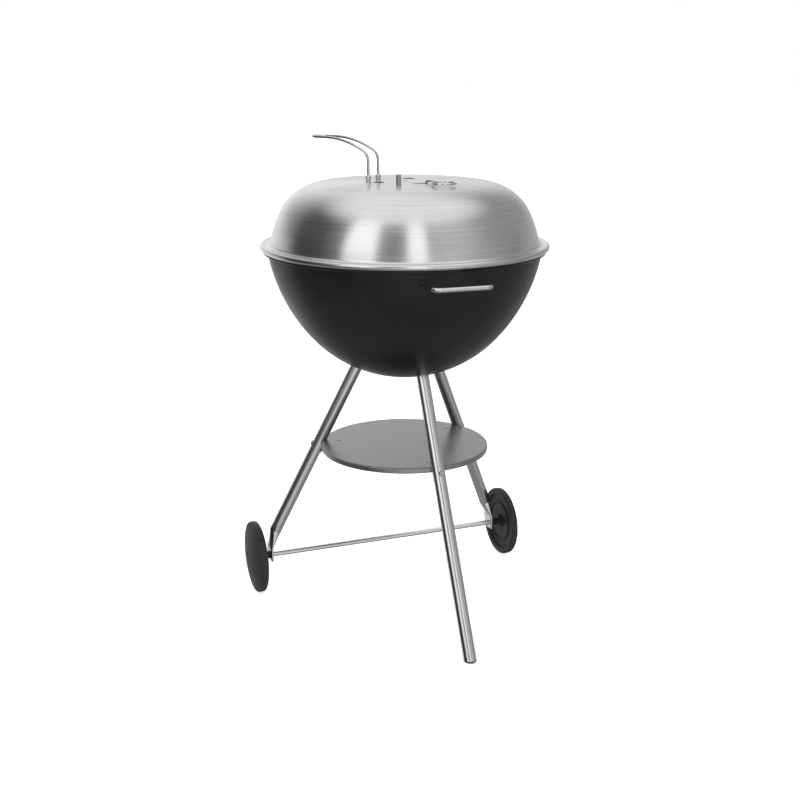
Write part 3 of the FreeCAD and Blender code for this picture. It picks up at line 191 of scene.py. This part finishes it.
# ---------------------------------------------------------------- materials
class Shader:
    """A material whose nodes are added one line at a time."""

    def __init__(self, name, base, metallic, roughness, **sockets):
        self.material = bpy.data.materials.new(name)
        self.material.use_nodes = True
        self.tree = self.material.node_tree
        self.bsdf = self.tree.nodes["Principled BSDF"]
        self.set("Base Color", (*base, 1))
        self.set("Metallic", metallic)
        self.set("Roughness", roughness)
        for socket, value in sockets.items():
            self.set(socket.replace("_", " "), value)

    def set(self, socket, value):
        self.bsdf.inputs[socket].default_value = value

    def node(self, kind, **settings):
        made = self.tree.nodes.new("ShaderNode" + kind)
        for key, value in settings.items():
            setattr(made, key, value)
        return made

    def link(self, source, target):
        self.tree.links.new(source, target)

    def math(self, operation, first, second):
        made = self.node("Math", operation=operation)
        for slot, value in enumerate((first, second)):
            if isinstance(value, (int, float)):
                made.inputs[slot].default_value = value
            else:
                self.link(value, made.inputs[slot])
        return made.outputs[0]

    def position(self):
        return self.node("TexCoord").outputs["Object"]

    def noise(self, vector, scale, detail=3.0, roughness=0.5):
        made = self.node("TexNoise")
        made.inputs["Scale"].default_value = scale
        made.inputs["Detail"].default_value = detail
        made.inputs["Roughness"].default_value = roughness
        self.link(vector, made.inputs["Vector"])
        return made.outputs["Fac"]

    def remap(self, value, low, high, start=0.3, end=0.7):
        made = self.node("MapRange")
        for socket, number in zip(("From Min", "From Max", "To Min", "To Max"), (start, end, low, high)):
            made.inputs[socket].default_value = number
        self.link(value, made.inputs["Value"])
        return made.outputs["Result"]

    def tint(self, value, dark, light):
        made = self.node("Mix", data_type="RGBA")
        factor, first, second, result = made.inputs[0], made.inputs[6], made.inputs[7], made.outputs[2]
        first.default_value = (*dark, 1)
        second.default_value = (*light, 1)
        self.link(value, factor)
        self.link(result, self.bsdf.inputs["Base Color"])

    def roughen(self, value):
        self.link(value, self.bsdf.inputs["Roughness"])

    def bump(self, value, strength, distance):
        made = self.node("Bump")
        made.inputs["Strength"].default_value = strength
        made.inputs["Distance"].default_value = distance
        self.link(value, made.inputs["Height"])
        self.link(made.outputs["Normal"], self.bsdf.inputs["Normal"])


def grey(level):
    return (level, level, level)


def round_grain(shader, origin, fine, coarse):
    """Grain that runs round a vertical axis: a vector that changes fast along the outline."""
    moved = shader.node("VectorMath", operation="SUBTRACT")
    shader.link(shader.position(), moved.inputs[0])
    moved.inputs[1].default_value = origin
    parts = shader.node("SeparateXYZ")
    shader.link(moved.outputs[0], parts.inputs[0])
    flat = shader.node("CombineXYZ")
    shader.link(parts.outputs[0], flat.inputs[0])
    shader.link(parts.outputs[1], flat.inputs[1])
    length = shader.node("VectorMath", operation="LENGTH")
    shader.link(flat.outputs[0], length.inputs[0])
    unit = shader.node("VectorMath", operation="NORMALIZE")
    shader.link(flat.outputs[0], unit.inputs[0])
    split = shader.node("SeparateXYZ")
    shader.link(unit.outputs[0], split.inputs[0])
    along = shader.math("SUBTRACT", length.outputs["Value"], parts.outputs[2])
    made = shader.node("CombineXYZ")
    shader.link(shader.math("MULTIPLY", split.outputs[0], coarse), made.inputs[0])
    shader.link(shader.math("MULTIPLY", split.outputs[1], coarse), made.inputs[1])
    shader.link(shader.math("MULTIPLY", along, fine), made.inputs[2])
    return made.outputs[0]


def straight_grain(shader, direction, fine, coarse):
    """Grain along a direction: the position, squeezed along it."""
    turn = UP.rotation_difference(direction).inverted().to_euler()
    rotate = shader.node("VectorRotate", rotation_type="EULER_XYZ")
    rotate.inputs["Rotation"].default_value = turn
    shader.link(shader.position(), rotate.inputs["Vector"])
    scale = shader.node("VectorMath", operation="MULTIPLY")
    shader.link(rotate.outputs[0], scale.inputs[0])
    scale.inputs[1].default_value = (fine, fine, coarse)
    return scale.outputs[0]


def brushed_lid():
    shader = Shader("lid_steel", grey(0.76), 1.0, 0.24, Anisotropic=0.85, Anisotropic_Rotation=0.25)
    vector = round_grain(shader, (0, 0, 0), 900, 1.6)
    streak = shader.noise(vector, 1.0, 4, 0.65)
    band = shader.noise(round_grain(shader, (0, 0, 0), 120, 1.2), 1.0, 3, 0.6)
    both = shader.math("ADD", shader.math("MULTIPLY", streak, 0.65), shader.math("MULTIPLY", band, 0.35))
    shader.tint(shader.remap(both, 0.0, 1.0), grey(0.66), grey(0.84))
    shader.roughen(shader.remap(both, 0.19, 0.28))
    shader.bump(streak, 0.15, 0.00004)
    tangent = shader.node("Tangent", direction_type="RADIAL", axis="Z")
    shader.link(tangent.outputs[0], shader.bsdf.inputs["Tangent"])
    return shader.material


def enamel():
    shader = Shader("bowl_enamel", grey(0.006), 0.0, 0.34, Specular_IOR_Level=0.34)
    position = shader.position()
    peel = shader.noise(position, 260, 3, 0.5)
    cloud = shader.noise(position, 14, 3, 0.6)
    shader.tint(shader.remap(cloud, 0.0, 1.0), grey(0.006), grey(0.01))
    shader.roughen(shader.remap(cloud, 0.30, 0.40))
    shader.bump(peel, 0.12, 0.0004)
    return shader.material


def polished(name, level=0.78, rough=0.14):
    shader = Shader(name, grey(level), 1.0, rough)
    position = shader.position()
    wear = shader.noise(position, 90, 4, 0.6)
    scratch = shader.noise(position, 900, 2, 0.5)
    shader.tint(shader.remap(wear, 0.0, 1.0), grey(level * 0.88), grey(level))
    shader.roughen(shader.remap(wear, rough * 0.7, rough * 1.6))
    shader.bump(scratch, 0.08, 0.0001)
    return shader.material


def brushed_tube(name, direction, level=0.8):
    shader = Shader(name, grey(level), 1.0, 0.28)
    streak = shader.noise(straight_grain(shader, direction, 1500, 14), 1.0, 4, 0.65)
    band = shader.noise(straight_grain(shader, direction, 260, 5), 1.0, 3, 0.6)
    both = shader.math("ADD", shader.math("MULTIPLY", streak, 0.6), shader.math("MULTIPLY", band, 0.4))
    shader.tint(shader.remap(both, 0.0, 1.0), grey(level * 0.82), grey(level * 1.1))
    shader.roughen(shader.remap(both, 0.17, 0.27))
    shader.bump(streak, 0.2, 0.00008)
    return shader.material


def sheet_steel(name, level, rough, mottle=40.0):
    shader = Shader(name, grey(level), 0.85, rough)
    position = shader.position()
    cloud = shader.noise(position, mottle, 5, 0.6)
    speck = shader.noise(position, 700, 2, 0.5)
    shader.tint(shader.remap(cloud, 0.0, 1.0), grey(level * 0.88), grey(level * 1.08))
    shader.roughen(shader.remap(cloud, rough * 0.85, rough * 1.15))
    shader.bump(speck, 0.12, 0.0001)
    return shader.material


def moulded(name, level, rough):
    shader = Shader(name, grey(level), 0.0, rough)
    position = shader.position()
    leather = shader.noise(position, 1100, 2, 0.5)
    scuff = shader.noise(position, 55, 5, 0.65)
    shader.tint(shader.remap(scuff, 0.0, 1.0, 0.35, 0.75), grey(level), grey(level * 1.5))
    shader.roughen(shader.remap(scuff, rough * 0.9, rough * 1.15))
    shader.bump(leather, 0.25, 0.00012)
    return shader.material


LEG_LEAN = 0.485  # outward run of a leg for each unit of drop
LEG_WAYS = {"front": Vector((0, -1, 0)), "left": Vector((-0.9, 0.43, 0)), "right": Vector((0.9, 0.43, 0))}

MATERIALS = {
    "brushed_steel": brushed_lid(),
    "black_enamel": enamel(),
    "bright_wire": polished("bright_wire"),
    "chrome_wire": polished("chrome_wire", 0.7, 0.2),
    "grate_steel": sheet_steel("grate_steel", 0.32, 0.45),
    "zinc_steel": sheet_steel("zinc_steel", 0.6, 0.32, 120),
    "axle_steel": brushed_tube("axle_steel", Vector((1, 0, 0)), 0.9),
    "tray_steel": sheet_steel("tray_steel", 0.31, 0.3, 18),
    "post_steel": polished("post_steel", 0.5, 0.3),
    "damper_steel": sheet_steel("damper_steel", 0.16, 0.4),
    "black_plastic": moulded("black_plastic", 0.014, 0.48),
    "wheel_plastic": moulded("wheel_plastic", 0.015, 0.52),
}
LEG_METAL = {}
for side, way in LEG_WAYS.items():
    LEG_METAL[side] = brushed_tube(f"leg_{side}", (UP - way * LEG_LEAN).normalized())


def clothe(piece, material):
    piece.data.materials.clear()
    piece.data.materials.append(material)


for entry in frame["record"]["subparts"]:
    piece = frame["nodes"][entry["node"]]
    slot = entry["material_slot"]
    material = LEG_METAL[entry["node"].split("_")[0]] if slot == "leg_tube" else MATERIALS[slot]
    clothe(piece, material)


def place(piece, body, slot, *nodes):
    """Gives a new piece its body and finish, and hides the CAD nodes that it stands for."""
    clothe(piece, MATERIALS[slot])
    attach(piece, body)
    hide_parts(*nodes)


# ---------------------------------------------------------------- lid
LID_SHEET = 1.2 * MM
LID_BEAD = 5.5 * MM
LID_FILLET = 6.8 * MM
LID_DRAFT = 11.0
CROWN_RADIUS = 160 * MM
CROWN_RISE = 2 * MM
CROWN_STEPS = 12
FOOT_INSET = 21.3 * MM  # edge of the rim to the foot of the wall
SHOULDER_BALANCE = 1 / 0.51  # share of the shoulder's upper arc against its lower one
LID_SEGMENTS = 256
CUT_DEPTH = 8 * MM
VENT_RING = 55 * MM
VENT_RADIUS = 12 * MM
SLOT_HALF = 5 * MM
SLOT_ANGLES = (271.0, 299.0)
VENT_ANGLES = (60.0, 180.0)
SLOT_STEPS = 12


def lid_outline():
    """Outer face, rolled rim and inner face of the lid, from the axis and back to it."""
    heading = LID_DRAFT - 90
    flange = RIM_Z + LID_BEAD - LID_SHEET
    foot_z = flange + LID_FILLET * (1 - math.cos(math.radians(heading)))
    foot = Vector((RIM_RADIUS - FOOT_INSET, foot_z))
    crown_turn = -2 * math.degrees(math.atan(CROWN_RISE / CROWN_RADIUS))
    crown = (CROWN_RADIUS / math.sin(math.radians(-crown_turn)), crown_turn)
    edge = Vector((CROWN_RADIUS, LID_TOP - CROWN_RISE))
    steps = [crown] + biarc(edge, crown_turn, foot, heading, SHOULDER_BALANCE) + [(LID_FILLET, -heading)]
    top = Vector((0, LID_TOP))
    outer = walk(top, 0, steps)
    inner = walk(top, 0, steps, -LID_SHEET)
    # the crown's own arc turns too little to be divided, so it is divided by radius
    middle = []
    for step in range(CROWN_STEPS):
        share = step / CROWN_STEPS
        middle.append(Vector((CROWN_RADIUS * share, LID_TOP - CROWN_RISE * share ** 2)))
    outer = middle + [p for p in outer if p.x > CROWN_RADIUS - MM]
    inner = [p - Vector((0, LID_SHEET)) for p in middle] + [p for p in inner if p.x > CROWN_RADIUS - MM]
    centre = Vector((RIM_RADIUS - LID_BEAD, RIM_Z))
    above = math.degrees(math.asin((flange - RIM_Z) / LID_BEAD))
    below = math.degrees(math.asin((flange - LID_SHEET - RIM_Z) / LID_BEAD))
    rim = bead(centre, LID_BEAD, 180 - above, -180 - below)
    return outer + rim + inner[::-1]


def slot_cutter():
    """A curved slot with round ends, as an upright cutter."""
    first, last = SLOT_ANGLES
    rim = []
    for start, stop, side in ((first, last, 1), (last, first, -1)):
        for step in range(SLOT_STEPS + 1):
            rim.append(polar(VENT_RING + SLOT_HALF * side, start + (stop - start) * step / SLOT_STEPS))
        end = polar(VENT_RING, stop)
        facing = stop if side > 0 else stop + 180
        for step in range(1, SLOT_STEPS):
            rim.append(end + polar(SLOT_HALF, facing + 180 * step / SLOT_STEPS))
    work = bmesh.new()
    base = work.faces.new([work.verts.new(point + UP * (LID_TOP - CUT_DEPTH)) for point in rim])
    raised = bmesh.ops.extrude_face_region(work, geom=[base])["geom"]
    verts = [item for item in raised if isinstance(item, bmesh.types.BMVert)]
    bmesh.ops.translate(work, verts=verts, vec=UP * (2 * CUT_DEPTH))
    bmesh.ops.recalc_face_normals(work, faces=work.faces)
    mesh = bpy.data.meshes.new("slot")
    work.to_mesh(mesh)
    work.free()
    return add("slot", mesh)


def make_lid():
    shell = lathe("lid_dome", lid_outline(), LID_SEGMENTS)
    spots = [polar(VENT_RING, degrees, LID_TOP) for degrees in VENT_ANGLES]
    cutters = [drill(VENT_RADIUS, spot, CUT_DEPTH) for spot in spots]
    cutters.append(slot_cutter())
    carve(shell, cutters)
    place(shell, "lid", "brushed_steel", "lid_shell")


make_lid()

# ---------------------------------------------------------------- stage, light and camera
VIEW_TURN = -21.458  # the camera's direction round the grill, against -Y
FLOOR_HALF = 30
CAMERA_PLACE = (-0.9189, -2.3121, 1.1326)
CAMERA_BACK = Vector((-0.3522, -0.8960, 0.2708))  # from what it looks at, towards the camera
SENSOR_WIDTH = 36.0
LENS = 55.88
LAMP_AIM = Vector((0, 0, 0.5))


def make_floor():
    mesh = bpy.data.meshes.new("floor")
    work = bmesh.new()
    bmesh.ops.create_grid(work, x_segments=2, y_segments=2, size=FLOOR_HALF)
    work.to_mesh(mesh)
    work.free()
    floor = add("floor", mesh)
    shader = Shader("floor", grey(0.9), 0.0, 0.9)
    shader.set("Emission Color", (1, 1, 1, 1))
    shader.set("Emission Strength", 0.72)
    clothe(floor, shader.material)
    floor.visible_glossy = False


# studio panels: azimuth in degrees to the camera's right, half width, soft edge, added brightness
LOW_PANELS = ((-72, 38, 24, -0.46), (20, 30, 34, 0.5), (105, 14, 30, -0.2), (-155, 30, 40, 0.5),
              (180, 30, 40, 0.1))
MID_PANELS = ((-40, 15, 9, 1.3), (11, 8.5, 8, 1.2), (-93, 27, 34, -0.3), (-10, 6, 6, -0.14),
              (-165, 22, 40, 0.5), (180, 20, 40, 0.3), (46, 24, 40, 0.26))
LOW_BASE = 0.5
MID_BASE = 0.4
HIGH_LEVEL = 1.2
NADIR_LEVEL = 0.3


class Studio:
    """The world: plain white behind the grill, and soft panels round it for its reflections."""

    def __init__(self):
        world = bpy.data.worlds.new("studio")
        bpy.context.scene.world = world
        world.use_nodes = True
        self.tree = world.node_tree
        self.tree.nodes.clear()
        turn = self.node("VectorRotate", rotation_type="Z_AXIS")
        turn.inputs["Angle"].default_value = math.radians(-VIEW_TURN)
        self.link(self.node("TexCoord").outputs["Generated"], turn.inputs["Vector"])
        split = self.node("SeparateXYZ")
        self.link(turn.outputs[0], split.inputs[0])
        towards = self.calc("MULTIPLY", split.outputs[1], -1)
        angle = self.calc("ARCTAN2", split.outputs[0], towards)
        self.azimuth = self.calc("MULTIPLY", angle, 180 / math.pi)
        self.rise = split.outputs[2]
        low = self.ring(LOW_BASE, LOW_PANELS)
        middle = self.ring(MID_BASE, MID_PANELS)
        level = self.blend(NADIR_LEVEL, low, -0.75, -0.35)
        level = self.blend(level, middle, 0.0, 0.26)
        level = self.blend(level, HIGH_LEVEL, 0.62, 0.9)
        self.join(level)

    def node(self, kind, **settings):
        made = self.tree.nodes.new("ShaderNode" + kind)
        for key, value in settings.items():
            setattr(made, key, value)
        return made

    def link(self, source, target):
        self.tree.links.new(source, target)

    def plug(self, value, socket):
        if isinstance(value, (int, float)):
            socket.default_value = value
        else:
            self.link(value, socket)

    def calc(self, operation, first, second):
        made = self.node("Math", operation=operation)
        self.plug(first, made.inputs[0])
        self.plug(second, made.inputs[1])
        return made.outputs[0]

    def ramp(self, value, start, end, low, high):
        made = self.node("MapRange", interpolation_type="SMOOTHSTEP")
        self.link(value, made.inputs["Value"])
        for socket, number in zip(("From Min", "From Max", "To Min", "To Max"), (start, end, low, high)):
            made.inputs[socket].default_value = number
        return made.outputs["Result"]

    def ring(self, level, panels):
        """Brightness round the horizon."""
        for centre, half, edge, amount in panels:
            off = self.calc("SUBTRACT", self.azimuth, centre)
            wrap = self.node("Math", operation="WRAP")
            self.link(off, wrap.inputs[0])
            wrap.inputs[1].default_value = 180
            wrap.inputs[2].default_value = -180
            away = self.calc("ABSOLUTE", wrap.outputs[0], 0)
            level = self.calc("ADD", level, self.ramp(away, half - edge / 2, half + edge / 2, amount, 0))
        return level

    def blend(self, below, above, start, end):
        """Goes over from one brightness to another as the direction rises."""
        share = self.ramp(self.rise, start, end, 0, 1)
        kept = self.calc("MULTIPLY", below, self.calc("SUBTRACT", 1, share))
        return self.calc("ADD", kept, self.calc("MULTIPLY", above, share))

    def join(self, level):
        panels = self.node("Background")
        self.link(level, panels.inputs["Strength"])
        plain = self.node("Background")
        plain.inputs["Color"].default_value = (1, 1, 1, 1)
        plain.inputs["Strength"].default_value = 1.0
        mix = self.node("MixShader")
        self.link(self.node("LightPath").outputs["Is Camera Ray"], mix.inputs[0])
        self.link(panels.outputs[0], mix.inputs[1])
        self.link(plain.outputs[0], mix.inputs[2])
        self.link(mix.outputs[0], self.node("OutputWorld").inputs[0])


def area_light(name, degrees, elevation, distance, size, power):
    light = bpy.data.lights.new(name, "AREA")
    light.shape = "RECTANGLE"
    light.size, light.size_y = size
    light.energy = power
    lamp = bpy.data.objects.new(name, light)
    bpy.context.scene.collection.objects.link(lamp)
    away = polar(math.cos(math.radians(elevation)), degrees, math.sin(math.radians(elevation)))
    lamp.location = LAMP_AIM + away * distance
    lamp.visible_glossy = False
    lamp.rotation_mode = "QUATERNION"
    lamp.rotation_quaternion = (-away).to_track_quat("-Z", "Y")


def make_camera():
    data = bpy.data.cameras.new("camera")
    data.sensor_width = SENSOR_WIDTH
    data.lens = LENS
    camera = bpy.data.objects.new("camera", data)
    bpy.context.scene.collection.objects.link(camera)
    camera.location = CAMERA_PLACE
    camera.rotation_mode = "QUATERNION"
    camera.rotation_quaternion = (-CAMERA_BACK).to_track_quat("-Z", "Y")
    bpy.context.scene.camera = camera


make_floor()
Studio()
area_light("top_light", 0, 88, 2.6, (2.4, 2.4), 18)
make_camera()
bpy.context.scene.view_settings.view_transform = "Standard"
